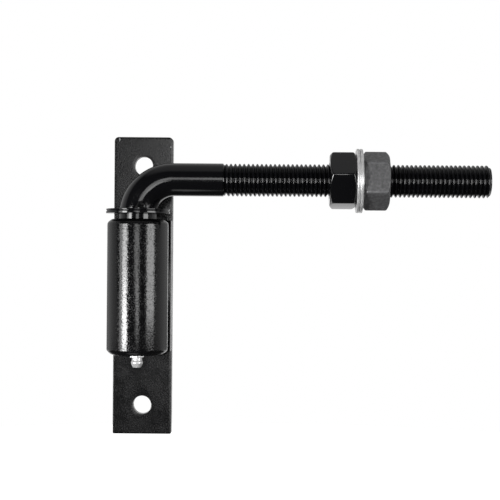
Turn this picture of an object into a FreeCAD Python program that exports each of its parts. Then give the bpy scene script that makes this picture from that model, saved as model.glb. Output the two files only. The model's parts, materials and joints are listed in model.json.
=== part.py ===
# Adjustable gate hinge with a J-shaped bolt. A bored barrel stands on a plate with two
# bolt holes. The bolt's leg turns in the barrel on two bushes and a ball thrust bearing,
# and its threaded arm carries two nuts and two washers that clamp the gate's upright.
# Lengths are in millimetres. +X runs along the bolt's arm, +Y points back through the
# plate, and +Z is up. The origin lies midway between the two holes, on the plate's back.

import FreeCAD
import Part
import Sketcher
import math
import os

from FreeCAD import Placement, Rotation, Vector

SIZES = [
    ("plate_width", 35.0, "mounting plate and the bar on it, across"),
    ("plate_height", 177.8, "mounting plate, upright"),
    ("plate_thickness", 6.35, "mounting plate, front to back"),
    ("plate_top_radius", 2.5, "rounding of the plate's two upper corners"),
    ("plate_foot_radius", 0.8, "rounding of the plate's two lower corners"),
    ("hole_diameter", 11.1, "bolt holes in the plate"),
    ("hole_end_distance", 17.25, "hole centre to the plate's nearer end"),
    ("standoff_depth", 7.5, "bar between the plate and the barrel"),
    ("standoff_edge_chamfer", 0.6, "broken long front edges of the bar"),
    ("barrel_diameter", 35.0, "outside of the barrel"),
    ("barrel_length", 78.0, "barrel and bar, upright"),
    ("barrel_chamfer_width", 2.5, "chamfers at the barrel's ends, across"),
    ("barrel_chamfer_height", 2.2, "chamfers at the barrel's ends, upright"),
    ("barrel_weld_start", 6.0, "root of the long welds, from the barrel's middle"),
    ("barrel_weld_edge", 1.2, "long welds' toe on the bar, in from its edge"),
    ("barrel_weld_angle", 36.0, "long welds' toe on the barrel, degrees behind its side"),
    ("barrel_weld_root", 5.0, "corner of the long welds' section, behind the barrel's axis"),
    ("barrel_weld_crown", 0.6, "long welds, proud of a flat between their toes"),
    ("end_weld_leg", 3.0, "welds across the bar's two ends"),
    ("bush_wall", 2.0, "wall of the two bushes"),
    ("bush_length", 20.0, "each bush, upright"),
    ("bush_recess", 1.5, "top of the upper bush below the barrel's mouth"),
    ("bush_chamfer", 0.5, "lead-in at the bushes' bores"),
    ("press_gap", 0.02, "gap left where a piece is pressed in"),
    ("running_gap", 0.05, "radial clearance where a piece turns or slides"),
    ("plug_thickness", 9.0, "plug pressed into the barrel's lower end"),
    ("race_thickness", 2.4, "each race of the thrust bearing"),
    ("race_bore", 12.4, "bore of the two races"),
    ("race_groove_depth", 0.7, "ball groove in each race"),
    ("race_side_gap", 0.4, "turning race and ring to the barrel's bore"),
    ("bearing_ball", 4.0, "diameter of the thrust bearing's balls"),
    ("bearing_ball_gap", 0.1, "balls to their grooves and pockets"),
    ("cage_thickness", 1.2, "ball cage, upright"),
    ("cage_rim", 0.9, "cage outside and inside its pockets"),
    ("leg_diameter", 21.3, "leg of the bolt, in the bushes"),
    ("leg_chamfer", 1.0, "lower end of the leg"),
    ("ring_end_distance", 2.2, "leg's end to the retaining ring's groove"),
    ("ring_thickness", 1.2, "retaining ring, upright"),
    ("ring_groove_depth", 1.25, "groove for the retaining ring"),
    ("ring_side_gap", 0.1, "ring to the sides and floor of its groove"),
    ("ring_float", 0.6, "retaining ring to the lower bush"),
    ("neck_height", 2.5, "straight leg between the barrel's top and the bend"),
    ("bend_radius", 20.5, "bend of the bolt, along its centre line"),
    ("arm_diameter", 19.05, "plain part of the arm"),
    ("arm_length", 203.2, "barrel's axis to the arm's end"),
    ("arm_chamfer", 1.6, "end of the arm"),
    ("thread_diameter", 18.95, "crests of the arm's thread"),
    ("thread_length", 152.4, "threaded part of the arm"),
    ("dust_gap", 3.2, "barrel's top to the dust washer"),
    ("dust_washer_diameter", 36.5, "outside of the dust washer"),
    ("dust_washer_thickness", 2.6, "dust washer, upright"),
    ("dust_washer_gap", 0.6, "leg to the dust washer's bore"),
    ("dust_washer_chamfer", 0.35, "broken edges of the dust washer"),
    ("tack_width", 7.0, "tack weld of the dust washer, across"),
    ("tack_height", 4.8, "tack weld, up the leg"),
    ("tack_depth", 2.6, "tack weld, out from the leg"),
    ("tack_offset", 3.1, "tack weld, to the arm's side of the leg's middle"),
    ("clamp_distance", 127.6, "barrel's axis to the parting of the two flat washers"),
    ("washer_parting", 0.12, "gap between the two flat washers"),
    ("washer_diameter", 37.0, "outside of the flat washers"),
    ("washer_bore", 20.6, "bore of the flat washers"),
    ("washer_thickness", 1.8, "each flat washer"),
    ("seat_gap", 0.02, "each nut to its washer"),
    ("nut_flats", 30.0, "across the flats of each nut"),
    ("nut_height", 15.3, "each nut, along the arm"),
    ("nut_face_inset", 0.5, "round face of each nut inside its flats"),
    ("nut_chamfer_angle", 30.0, "slope of the nuts' chamfers, degrees"),
    ("nut_countersink", 0.9, "countersinks of the nuts' bores"),
    ("inner_nut_turn", 20.2, "inner nut, from corner up towards the front, degrees"),
    ("outer_nut_turn", -4.6, "outer nut, from corner up towards the front, degrees"),
    ("nipple_thread", 6.2, "threaded shank of the grease nipple"),
    ("nipple_shank", 5.5, "shank inside the plug"),
    ("nipple_flats", 8.0, "across the flats of the nipple"),
    ("nipple_hex_height", 1.8, "hexagon of the nipple"),
    ("nipple_hex_turn", 36.0, "nipple's hexagon, from corner to the side, degrees"),
    ("nipple_neck", 5.9, "neck of the nipple"),
    ("nipple_neck_length", 1.8, "neck below the hexagon"),
    ("nipple_head", 6.8, "widest part of the nipple's head"),
    ("nipple_flare", 0.7, "slope from the neck to the head"),
    ("nipple_head_band", 1.0, "straight band of the head"),
    ("nipple_tip", 4.6, "end face of the nipple"),
    ("nipple_taper", 2.4, "slope from the head to the end face"),
    ("nipple_inlet", 1.6, "inlet of the nipple"),
    ("nipple_inlet_length", 1.0, "inlet, below its cone"),
    ("nipple_bore", 2.8, "bore above the inlet"),
    ("nipple_lip", 0.6, "lip that holds the spring"),
    ("nipple_lip_bore", 1.6, "bore of that lip"),
    ("check_ball", 2.4, "ball that closes the inlet"),
    ("check_ball_gap", 0.05, "check ball to its cone, spring to its lip"),
    ("spring_wire", 0.3, "square wire of the check ball's spring"),
    ("spring_coils", 4.0, "turns of the check ball's spring"),
]

BEARING_BALLS = 10
RETAINING_RING_SWEEP = 318.0

doc = FreeCAD.newDocument("GateHinge")
sheet = doc.addObject("Spreadsheet::Sheet", "Sizes")
for row, (alias, number, note) in enumerate(SIZES, start=1):
    sheet.set("A%d" % row, alias)
    sheet.set("B%d" % row, str(number))
    sheet.set("C%d" % row, note)
    sheet.setAlias("B%d" % row, alias)
doc.recompute()

# Places worked out from the sizes. Heights are from the middle of the barrel.
BARREL_AXIS_Y = "(-Sizes.plate_thickness - Sizes.standoff_depth - Sizes.barrel_diameter / 2)"
BARREL_TOP = "(Sizes.barrel_length / 2)"
BARREL_BOTTOM = "(-Sizes.barrel_length / 2)"
LEG_RADIUS = "(Sizes.leg_diameter / 2)"
BUSH_BORE_RADIUS = "(Sizes.leg_diameter / 2 + Sizes.running_gap)"
BORE_RADIUS = "(Sizes.leg_diameter / 2 + Sizes.running_gap + Sizes.bush_wall)"
PRESSED_RADIUS = "(%s - Sizes.press_gap)" % BORE_RADIUS
TURNING_RADIUS = "(%s - Sizes.race_side_gap)" % BORE_RADIUS
RACE_BORE_RADIUS = "(Sizes.race_bore / 2)"
BALL_CIRCLE = "((%s + %s) / 2)" % (RACE_BORE_RADIUS, BORE_RADIUS)
BALL_SPACE = "(Sizes.bearing_ball / 2 + Sizes.bearing_ball_gap)"
PLUG_TOP = "(%s + Sizes.plug_thickness)" % BARREL_BOTTOM
LOWER_RACE_TOP = "(%s + Sizes.race_thickness)" % PLUG_TOP
BALL_HEIGHT = "(%s - Sizes.race_groove_depth + %s)" % (LOWER_RACE_TOP, BALL_SPACE)
UPPER_RACE_BOTTOM = "(%s + %s - Sizes.race_groove_depth)" % (BALL_HEIGHT, BALL_SPACE)
LEG_END = "(%s + Sizes.race_thickness)" % UPPER_RACE_BOTTOM
RING_BOTTOM = "(%s + Sizes.ring_end_distance)" % LEG_END
RING_TOP = "(%s + Sizes.ring_thickness)" % RING_BOTTOM
LOWER_BUSH_BOTTOM = "(%s + Sizes.ring_float)" % RING_TOP
UPPER_BUSH_BOTTOM = "(%s - Sizes.bush_recess - Sizes.bush_length)" % BARREL_TOP
BEND_BOTTOM = "(%s + Sizes.neck_height)" % BARREL_TOP
ARM_HEIGHT = "(%s + Sizes.bend_radius)" % BEND_BOTTOM
THREAD_START = "(Sizes.arm_length - Sizes.thread_length)"
DUST_WASHER_BOTTOM = "(%s + Sizes.dust_gap)" % BARREL_TOP
DUST_WASHER_TOP = "(%s + Sizes.dust_washer_thickness)" % DUST_WASHER_BOTTOM
INNER_WASHER_FACE = "(Sizes.clamp_distance - Sizes.washer_parting / 2 - Sizes.washer_thickness)"
INNER_NUT_FACE = "(%s - Sizes.seat_gap - Sizes.nut_height)" % INNER_WASHER_FACE
OUTER_WASHER_FACE = "(Sizes.clamp_distance + Sizes.washer_parting / 2)"
OUTER_NUT_FACE = "(%s + Sizes.washer_thickness + Sizes.seat_gap)" % OUTER_WASHER_FACE


def number_of(expression):
    """The number that an expression gives with the sheet's sizes."""
    return float(sheet.evalExpression(expression))


def new_body(label):
    body = doc.addObject("PartDesign::Body", label + "_body")
    body.Label = label
    return body


def place(item, across="0", back="0", up="0", rotation=None):
    """Sets a piece in its place, with each coordinate tied to the sheet."""
    if rotation:
        item.Placement = Placement(Vector(0, 0, 0), rotation)
    for letter, expression in (("x", across), ("y", back), ("z", up)):
        item.setExpression(".Placement.Base." + letter, expression)


def new_sketch(body, name, role, lift="0", rise="0"):
    """A sketch on one of the body's planes, lifted off it or raised along it."""
    plane = [item for item in body.Origin.OriginFeatures if item.Role == role][0]
    sketch = body.newObject("Sketcher::SketchObject", name)
    sketch.AttachmentSupport = [(plane, "")]
    sketch.MapMode = "FlatFace"
    sketch.setExpression(".AttachmentOffset.Base.z", lift)
    sketch.setExpression(".AttachmentOffset.Base.y", rise)
    return sketch


def pin_point(sketch, geometry, vertex, across, up):
    """Ties one point of a sketch to two expressions. A zero lies on the axis."""
    for kind, axis, expression in (("DistanceX", -2, across), ("DistanceY", -1, up)):
        if expression == "0":
            rule = Sketcher.Constraint("PointOnObject", geometry, vertex, axis)
            sketch.addConstraint(rule)
            continue
        rule = Sketcher.Constraint(kind, -1, 1, geometry, vertex, number_of(expression))
        index = sketch.addConstraint(rule)
        sketch.setExpression("Constraints[%d]" % index, expression)


def add_polygon(sketch, points):
    """A closed outline of straight lines through the given points."""
    count = len(points)
    first = sketch.GeometryCount
    places = [Vector(number_of(across), number_of(up), 0) for across, up in points]
    for k in range(count):
        sketch.addGeometry(Part.LineSegment(places[k], places[(k + 1) % count]), False)
    for k in range(count):
        after = first + (k + 1) % count
        sketch.addConstraint(Sketcher.Constraint("Coincident", first + k, 2, after, 1))
    for k in range(count):
        pin_point(sketch, first + k, 1, *points[k])


def add_circle(sketch, across, up, radius):
    centre = Vector(number_of(across), number_of(up), 0)
    circle = Part.Circle(centre, Vector(0, 0, 1), number_of(radius))
    index = sketch.addGeometry(circle, False)
    pin_point(sketch, index, 3, across, up)
    rule = Sketcher.Constraint("Radius", index, number_of(radius))
    rule_index = sketch.addConstraint(rule)
    sketch.setExpression("Constraints[%d]" % rule_index, radius)


def hexagon(flats):
    """The six corners of a hexagon with the given width across its flats."""
    radius = "(%s / 2 / cos(30))" % flats
    corners = []
    for k in range(6):
        across = "(%s * %r)" % (radius, math.cos(math.radians(60 * k)))
        up = "(%s * %r)" % (radius, math.sin(math.radians(60 * k)))
        corners.append((across, "0" if k % 3 == 0 else up))
    return corners


def revolve(body, name, points, kind="Revolution", axis="V_Axis", rise="0", angle=360.0):
    """Turns a profile of (radius, height) points about the upright or level axis."""
    sketch = new_sketch(body, name + "_profile", "XZ_Plane", rise=rise)
    add_polygon(sketch, points)
    feature = body.newObject("PartDesign::" + kind, name)
    feature.Profile = sketch
    feature.ReferenceAxis = (sketch, [axis])
    feature.Angle = angle
    return feature


def pad(body, name, sketch, length, kind="Pad", backwards=False):
    feature = body.newObject("PartDesign::" + kind, name)
    feature.Profile = sketch
    feature.Reversed = backwards
    feature.setExpression("Length", length)
    return feature


def level_edges(shape, half):
    """Names of the straight front-to-back edges in the upper (1) or lower (-1) half."""
    names = []
    for index, edge in enumerate(shape.Edges, start=1):
        if not isinstance(edge.Curve, Part.Line):
            continue
        if abs(edge.Curve.Direction.y) > 0.999 and edge.CenterOfMass.z * half > 0:
            names.append("Edge%d" % index)
    return names


def make_plate():
    """Flat bar, rounder at its upper corners, with a bolt hole near each end."""
    body = new_body("mounting_plate")
    sketch = new_sketch(body, "plate_outline", "XZ_Plane")
    side = "(Sizes.plate_width / 2)"
    end = "(Sizes.plate_height / 2)"
    add_polygon(sketch, [("-" + side, "-" + end), (side, "-" + end), (side, end), ("-" + side, end)])
    base = pad(body, "plate_pad", sketch, "Sizes.plate_thickness")
    doc.recompute()
    for name, half in (("plate_top", 1), ("plate_foot", -1)):
        corners = body.newObject("PartDesign::Fillet", name + "_corners")
        corners.Base = (base, level_edges(body.Shape, half))
        corners.setExpression("Radius", "Sizes.%s_radius" % name)
        doc.recompute()
        base = corners
    holes = new_sketch(body, "plate_hole_centres", "XZ_Plane")
    for sign in ("", "-"):
        height = sign + "(Sizes.plate_height / 2 - Sizes.hole_end_distance)"
        add_circle(holes, "0", height, "Sizes.hole_diameter / 2")
    pad(body, "plate_holes", holes, "Sizes.plate_thickness", "Pocket", backwards=True)
    return body


def make_standoff():
    """Bar that carries the barrel clear of the plate, as wide as the plate."""
    body = new_body("standoff_bar")
    sketch = new_sketch(body, "standoff_section", "XY_Plane", lift=BARREL_BOTTOM)
    side = "(Sizes.plate_width / 2)"
    back = "(-Sizes.plate_thickness)"
    front = "(-Sizes.plate_thickness - Sizes.standoff_depth)"
    shoulder = "(%s + Sizes.standoff_edge_chamfer)" % front
    flat = "(%s - Sizes.standoff_edge_chamfer)" % side
    outline = [("-" + side, back), ("-" + side, shoulder), ("-" + flat, front)]
    outline += [(flat, front), (side, shoulder), (side, back)]
    add_polygon(sketch, outline)
    pad(body, "standoff_pad", sketch, "Sizes.barrel_length")
    return body


def make_barrel():
    """Turned barrel, bored through, with a chamfer at each end."""
    body = new_body("barrel")
    outside = "(Sizes.barrel_diameter / 2)"
    shoulder = "(%s - Sizes.barrel_chamfer_width)" % outside
    low = "(%s + Sizes.barrel_chamfer_height)" % BARREL_BOTTOM
    high = "(%s - Sizes.barrel_chamfer_height)" % BARREL_TOP
    revolve(body, "barrel_wall", [
        (BORE_RADIUS, BARREL_BOTTOM), (shoulder, BARREL_BOTTOM), (outside, low),
        (outside, high), (shoulder, BARREL_TOP), (BORE_RADIUS, BARREL_TOP)])
    place(body, back=BARREL_AXIS_Y)
    return body


def make_barrel_weld(label, sign):
    """Weld along the corner between the barrel and one side of the bar."""
    radius = "(Sizes.barrel_diameter / 2)"
    toe_across = "(%s * cos(Sizes.barrel_weld_angle))" % radius
    toe_back = "(%s * sin(Sizes.barrel_weld_angle))" % radius
    bar_toe = "(Sizes.plate_width / 2 - Sizes.barrel_weld_edge)"
    crown = ("((%s + %s) / 2 + Sizes.barrel_weld_crown)" % (toe_across, bar_toe),
             "((%s + %s) / 2)" % (toe_back, radius))
    body = doc.addObject("PartDesign::Body", label + "_bead")
    sketch = new_sketch(body, label + "_section", "XY_Plane", lift=BARREL_BOTTOM)
    outline = [("Sizes.barrel_weld_start", "Sizes.barrel_weld_root"),
               ("Sizes.barrel_weld_start", radius), (bar_toe, radius), crown, (toe_across, toe_back)]
    if sign < 0:
        outline = [("-" + across, up) for across, up in outline]
    add_polygon(sketch, outline)
    pad(body, label + "_pad", sketch, "Sizes.barrel_length")
    core = doc.addObject("Part::Cylinder", label + "_core")
    core.setExpression("Radius", radius)
    core.setExpression("Height", "Sizes.barrel_length")
    place(core, up=BARREL_BOTTOM)
    weld = doc.addObject("Part::Cut", label)
    weld.Label = label
    weld.Base = body
    weld.Tool = core
    place(weld, back=BARREL_AXIS_Y)
    return weld


def make_end_weld(label, sign):
    """Fillet weld between the plate's front and one end of the bar."""
    body = new_body(label)
    sketch = new_sketch(body, label + "_section", "YZ_Plane")
    front = "(-Sizes.plate_thickness)"
    toe = "(%s - Sizes.end_weld_leg)" % front
    start = BARREL_TOP if sign > 0 else BARREL_BOTTOM
    end = "(%s + %d * Sizes.end_weld_leg)" % (start, sign)
    add_polygon(sketch, [(front, start), (toe, start), (front, end)])
    weld = pad(body, label + "_pad", sketch, "Sizes.plate_width - 2 * Sizes.end_weld_leg")
    weld.Midplane = True
    return body


def make_bush(label, bottom):
    """Plain bronze bush with a lead-in at each end of its bore."""
    body = new_body(label)
    top = "(%s + Sizes.bush_length)" % bottom
    lead = "(%s + Sizes.bush_chamfer)" % BUSH_BORE_RADIUS
    revolve(body, label + "_wall", [
        (lead, bottom), (PRESSED_RADIUS, bottom), (PRESSED_RADIUS, top), (lead, top),
        (BUSH_BORE_RADIUS, "(%s - Sizes.bush_chamfer)" % top),
        (BUSH_BORE_RADIUS, "(%s + Sizes.bush_chamfer)" % bottom)])
    place(body, back=BARREL_AXIS_Y)
    return body


def make_plug():
    """Plug that closes the barrel's lower end and takes the nipple's thread."""
    body = new_body("bottom_plug")
    hole = "(Sizes.nipple_thread / 2 + Sizes.running_gap)"
    revolve(body, "plug_wall", [
        (hole, BARREL_BOTTOM), (PRESSED_RADIUS, BARREL_BOTTOM), (PRESSED_RADIUS, PLUG_TOP),
        (hole, PLUG_TOP)])
    place(body, back=BARREL_AXIS_Y)
    return body


def make_race(label, bottom, outside):
    """Race of the thrust bearing, with the groove that its balls run in."""
    body = new_body(label)
    top = "(%s + Sizes.race_thickness)" % bottom
    revolve(body, label + "_ring", [
        (RACE_BORE_RADIUS, bottom), (outside, bottom), (outside, top), (RACE_BORE_RADIUS, top)])
    sketch = new_sketch(body, label + "_groove_section", "XZ_Plane")
    add_circle(sketch, BALL_CIRCLE, BALL_HEIGHT, BALL_SPACE)
    groove = body.newObject("PartDesign::Groove", label + "_groove")
    groove.Profile = sketch
    groove.ReferenceAxis = (sketch, ["V_Axis"])
    groove.Angle = 360.0
    place(body, back=BARREL_AXIS_Y)
    return body


def make_cage():
    """Ring that spaces the bearing's balls, with a round pocket for each."""
    body = new_body("ball_cage")
    inside = "(%s - %s - Sizes.cage_rim)" % (BALL_CIRCLE, BALL_SPACE)
    outside = "(%s + %s + Sizes.cage_rim)" % (BALL_CIRCLE, BALL_SPACE)
    bottom = "(%s - Sizes.cage_thickness / 2)" % BALL_HEIGHT
    top = "(%s + Sizes.cage_thickness / 2)" % BALL_HEIGHT
    revolve(body, "cage_ring", [(inside, bottom), (outside, bottom), (outside, top), (inside, top)])
    sketch = new_sketch(body, "cage_pocket_outline", "XY_Plane", lift=top)
    add_circle(sketch, BALL_CIRCLE, "0", BALL_SPACE)
    pocket = pad(body, "cage_pocket", sketch, "Sizes.cage_thickness", "Pocket")
    pattern = body.newObject("PartDesign::PolarPattern", "cage_pockets")
    pattern.Originals = [pocket]
    pattern.Axis = (sketch, ["N_Axis"])
    pattern.Angle = 360.0
    pattern.Occurrences = BEARING_BALLS
    body.Tip = pattern
    place(body, back=BARREL_AXIS_Y)
    return body


def make_bearing_balls():
    """The thrust bearing's balls, evenly spaced on their circle."""
    balls = []
    for k in range(BEARING_BALLS):
        angle = 2 * math.pi * k / BEARING_BALLS
        ball = doc.addObject("Part::Sphere", "bearing_ball_%d" % (k + 1))
        ball.setExpression("Radius", "Sizes.bearing_ball / 2")
        place(ball, "%s * %r" % (BALL_CIRCLE, math.cos(angle)),
              "%s * %r" % (BALL_CIRCLE, math.sin(angle)), BALL_HEIGHT)
        balls.append(ball)
    group = doc.addObject("Part::Compound", "bearing_balls")
    group.Label = "bearing_balls"
    group.Links = balls
    place(group, back=BARREL_AXIS_Y)
    return group


def make_j_bolt():
    """Leg, tapering bend and threaded arm, forged in one piece."""
    body = new_body("j_bolt")
    floor = "(%s - Sizes.ring_groove_depth)" % LEG_RADIUS
    groove_low = "(%s - Sizes.ring_side_gap)" % RING_BOTTOM
    groove_high = "(%s + Sizes.ring_side_gap)" % RING_TOP
    revolve(body, "leg", [
        ("0", LEG_END), ("(%s - Sizes.leg_chamfer)" % LEG_RADIUS, LEG_END),
        (LEG_RADIUS, "(%s + Sizes.leg_chamfer)" % LEG_END), (LEG_RADIUS, groove_low),
        (floor, groove_low), (floor, groove_high), (LEG_RADIUS, groove_high),
        (LEG_RADIUS, BEND_BOTTOM), ("0", BEND_BOTTOM)])
    path = new_sketch(body, "bend_path", "XZ_Plane")
    centre = Vector(number_of("Sizes.bend_radius"), number_of(BEND_BOTTOM), 0)
    circle = Part.Circle(centre, Vector(0, 0, 1), number_of("Sizes.bend_radius"))
    path.addGeometry(Part.ArcOfCircle(circle, math.pi / 2, math.pi), False)
    pin_point(path, 0, 3, "Sizes.bend_radius", BEND_BOTTOM)
    pin_point(path, 0, 1, "Sizes.bend_radius", ARM_HEIGHT)
    rule = Sketcher.Constraint("DistanceY", -1, 1, 0, 2, number_of(BEND_BOTTOM))
    path.setExpression("Constraints[%d]" % path.addConstraint(rule), BEND_BOTTOM)
    low = new_sketch(body, "bend_leg_section", "XY_Plane", lift=BEND_BOTTOM)
    add_circle(low, "0", "0", LEG_RADIUS)
    high = new_sketch(body, "bend_arm_section", "YZ_Plane", lift="Sizes.bend_radius")
    add_circle(high, "0", ARM_HEIGHT, "Sizes.arm_diameter / 2")
    bend = body.newObject("PartDesign::AdditivePipe", "bend")
    bend.Profile = low
    bend.Spine = (path, ["Edge1"])
    bend.Transformation = "Multisection"
    bend.Sections = [(high, [""])]
    doc.recompute()
    shank = "(Sizes.arm_diameter / 2)"
    crest = "(Sizes.thread_diameter / 2)"
    revolve(body, "arm", [
        ("Sizes.bend_radius", "0"), ("Sizes.bend_radius", shank), (THREAD_START, shank),
        (THREAD_START, crest), ("(Sizes.arm_length - Sizes.arm_chamfer)", crest),
        ("Sizes.arm_length", "(%s - Sizes.arm_chamfer)" % crest), ("Sizes.arm_length", "0")],
        axis="H_Axis", rise=ARM_HEIGHT)
    place(body, back=BARREL_AXIS_Y)
    return body


def make_retaining_ring():
    """Open spring ring in the leg's groove, which keeps the bolt in the barrel."""
    body = new_body("retaining_ring")
    inside = "(%s - Sizes.ring_groove_depth + Sizes.ring_side_gap)" % LEG_RADIUS
    revolve(body, "ring_section", [
        (inside, RING_BOTTOM), (TURNING_RADIUS, RING_BOTTOM), (TURNING_RADIUS, RING_TOP),
        (inside, RING_TOP)], angle=RETAINING_RING_SWEEP)
    place(body, back=BARREL_AXIS_Y)
    return body


def make_dust_washer():
    """Washer tacked to the leg, which sheds dirt from the barrel's mouth."""
    body = new_body("dust_washer")
    inside = "(%s + Sizes.dust_washer_gap)" % LEG_RADIUS
    outside = "(Sizes.dust_washer_diameter / 2)"
    rim = "(%s - Sizes.dust_washer_chamfer)" % outside
    revolve(body, "dust_washer_section", [
        (inside, DUST_WASHER_BOTTOM), (rim, DUST_WASHER_BOTTOM),
        (outside, "(%s + Sizes.dust_washer_chamfer)" % DUST_WASHER_BOTTOM),
        (outside, "(%s - Sizes.dust_washer_chamfer)" % DUST_WASHER_TOP),
        (rim, DUST_WASHER_TOP), (inside, DUST_WASHER_TOP)])
    place(body, back=BARREL_AXIS_Y)
    return body


def make_washer_tack(bolt):
    """Tack weld in the corner between the leg's front and the dust washer."""
    dome = doc.addObject("Part::Ellipsoid", "tack_dome")
    dome.setExpression("Radius1", "Sizes.tack_height")
    dome.setExpression("Radius2", "Sizes.tack_width / 2")
    dome.setExpression("Radius3", "Sizes.tack_depth")
    dome.Angle1 = 0
    dome.Angle2 = 90
    front = "%s - sqrt(pow(%s; 2) - pow(Sizes.tack_offset; 2))" % (BARREL_AXIS_Y, LEG_RADIUS)
    place(dome, "Sizes.tack_offset", front, DUST_WASHER_TOP)
    tack = doc.addObject("Part::Cut", "washer_tack")
    tack.Label = "washer_tack"
    tack.Base = dome
    tack.Tool = bolt
    return tack


def make_flat_washer(label, face):
    body = new_body(label)
    inside = "(Sizes.washer_bore / 2)"
    outside = "(Sizes.washer_diameter / 2)"
    end = "Sizes.washer_thickness"
    revolve(body, label + "_section", [(inside, "0"), (outside, "0"), (outside, end), (inside, end)])
    place(body, face, BARREL_AXIS_Y, ARM_HEIGHT, Rotation(Vector(0, 1, 0), 90))
    return body


def make_nut(label, face, turn):
    """Round blank with chamfered ends and a bore, then six flats cut to its hexagon."""
    body = new_body(label)
    corner = "(Sizes.nut_flats / 2 / cos(30))"
    round_face = "(Sizes.nut_flats / 2 - Sizes.nut_face_inset)"
    slope = "((%s - %s) * tan(Sizes.nut_chamfer_angle))" % (corner, round_face)
    bore = "(Sizes.arm_diameter / 2 + Sizes.running_gap)"
    sink = "(%s + Sizes.nut_countersink)" % bore
    end = "Sizes.nut_height"
    revolve(body, label + "_blank", [
        (sink, "0"), (round_face, "0"), (corner, slope), (corner, "(%s - %s)" % (end, slope)),
        (round_face, end), (sink, end), (bore, "(%s - Sizes.nut_countersink)" % end),
        (bore, "Sizes.nut_countersink")])
    sketch = new_sketch(body, label + "_flats_outline", "XY_Plane")
    add_circle(sketch, "0", "0", "%s + Sizes.nut_face_inset" % corner)
    add_polygon(sketch, hexagon("Sizes.nut_flats"))
    pad(body, label + "_flats", sketch, end, "Pocket", backwards=True)
    facing = Rotation(Vector(1, 0, 0), turn) * Rotation(Vector(0, 1, 0), 90)
    place(body, face, BARREL_AXIS_Y, ARM_HEIGHT, facing)
    return body


# Heights inside the nipple are from the barrel's lower face, and down is negative.
NIPPLE_HEAD_START = "(Sizes.nipple_hex_height + Sizes.nipple_neck_length + Sizes.nipple_flare)"
NIPPLE_HEAD_END = "(%s + Sizes.nipple_head_band)" % NIPPLE_HEAD_START
NIPPLE_TIP = "(%s + Sizes.nipple_taper)" % NIPPLE_HEAD_END
CONE_BOTTOM = "(Sizes.nipple_inlet_length - %s)" % NIPPLE_TIP
CHECK_BALL_HEIGHT = ("(%s + (Sizes.check_ball / 2 + Sizes.check_ball_gap) * sqrt(2)"
                     " - Sizes.nipple_inlet / 2)" % CONE_BOTTOM)
SPRING_RADIUS = "(Sizes.nipple_bore / 2 - Sizes.spring_wire / 2 - Sizes.check_ball_gap)"
SPRING_TOP = "(Sizes.nipple_shank - Sizes.nipple_lip - Sizes.check_ball_gap)"


def make_nipple():
    """Grease nipple: threaded shank, hexagon, neck and head round a stepped bore."""
    body = new_body("grease_nipple")
    shank = "(Sizes.nipple_thread / 2)"
    neck = "(Sizes.nipple_neck / 2)"
    head = "(Sizes.nipple_head / 2)"
    neck_end = "(-Sizes.nipple_hex_height - Sizes.nipple_neck_length)"
    revolve(body, "nipple_outside", [
        ("0", "Sizes.nipple_shank"), (shank, "Sizes.nipple_shank"), (shank, "0"), (neck, "0"),
        (neck, neck_end), (head, "-" + NIPPLE_HEAD_START), (head, "-" + NIPPLE_HEAD_END),
        ("(Sizes.nipple_tip / 2)", "-" + NIPPLE_TIP), ("0", "-" + NIPPLE_TIP)])
    sketch = new_sketch(body, "nipple_hexagon", "XY_Plane")
    add_polygon(sketch, hexagon("Sizes.nipple_flats"))
    pad(body, "nipple_hex", sketch, "Sizes.nipple_hex_height", backwards=True)
    bore = "(Sizes.nipple_bore / 2)"
    inlet = "(Sizes.nipple_inlet / 2)"
    lip = "(Sizes.nipple_lip_bore / 2)"
    lip_bottom = "(Sizes.nipple_shank - Sizes.nipple_lip)"
    revolve(body, "nipple_bore_cut", [
        ("0", "-" + NIPPLE_TIP), (inlet, "-" + NIPPLE_TIP), (inlet, CONE_BOTTOM),
        (bore, "(%s + %s - %s)" % (CONE_BOTTOM, bore, inlet)), (bore, lip_bottom),
        (lip, lip_bottom), (lip, "Sizes.nipple_shank"), ("0", "Sizes.nipple_shank")],
        kind="Groove")
    turned = Rotation(Vector(0, 0, 1), number_of("Sizes.nipple_hex_turn"))
    place(body, "0", BARREL_AXIS_Y, BARREL_BOTTOM, turned)
    return body


def make_check_ball():
    ball = doc.addObject("Part::Sphere", "check_ball")
    ball.Label = "nipple_ball"
    ball.setExpression("Radius", "Sizes.check_ball / 2")
    place(ball, "0", BARREL_AXIS_Y, "%s + %s" % (BARREL_BOTTOM, CHECK_BALL_HEIGHT))
    return ball


def make_check_spring():
    """Coil spring of square wire between the check ball and the lip at the shank's end."""
    half_wire = "(Sizes.spring_wire / 2)"
    bottom = "(%s + Sizes.check_ball / 2 + %s)" % (CHECK_BALL_HEIGHT, half_wire)
    height = "(%s - %s - %s)" % (SPRING_TOP, half_wire, bottom)
    helix = doc.addObject("Part::Helix", "spring_path")
    helix.setExpression("Radius", SPRING_RADIUS)
    helix.setExpression("Height", height)
    helix.setExpression("Pitch", "%s / Sizes.spring_coils" % height)
    section = doc.addObject("Part::RegularPolygon", "spring_section")
    section.Polygon = 4
    section.setExpression("Circumradius", "%s * sqrt(2)" % half_wire)
    upright = Rotation(Vector(1, 0, 0), 90) * Rotation(Vector(0, 0, 1), 45)
    place(section, SPRING_RADIUS, rotation=upright)
    spring = doc.addObject("Part::Sweep", "nipple_spring")
    spring.Label = "nipple_spring"
    spring.Sections = [section]
    spring.Spine = (helix, [])
    spring.Solid = True
    spring.Frenet = True
    place(spring, "0", BARREL_AXIS_Y, "%s + %s" % (BARREL_BOTTOM, bottom))
    return spring


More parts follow.
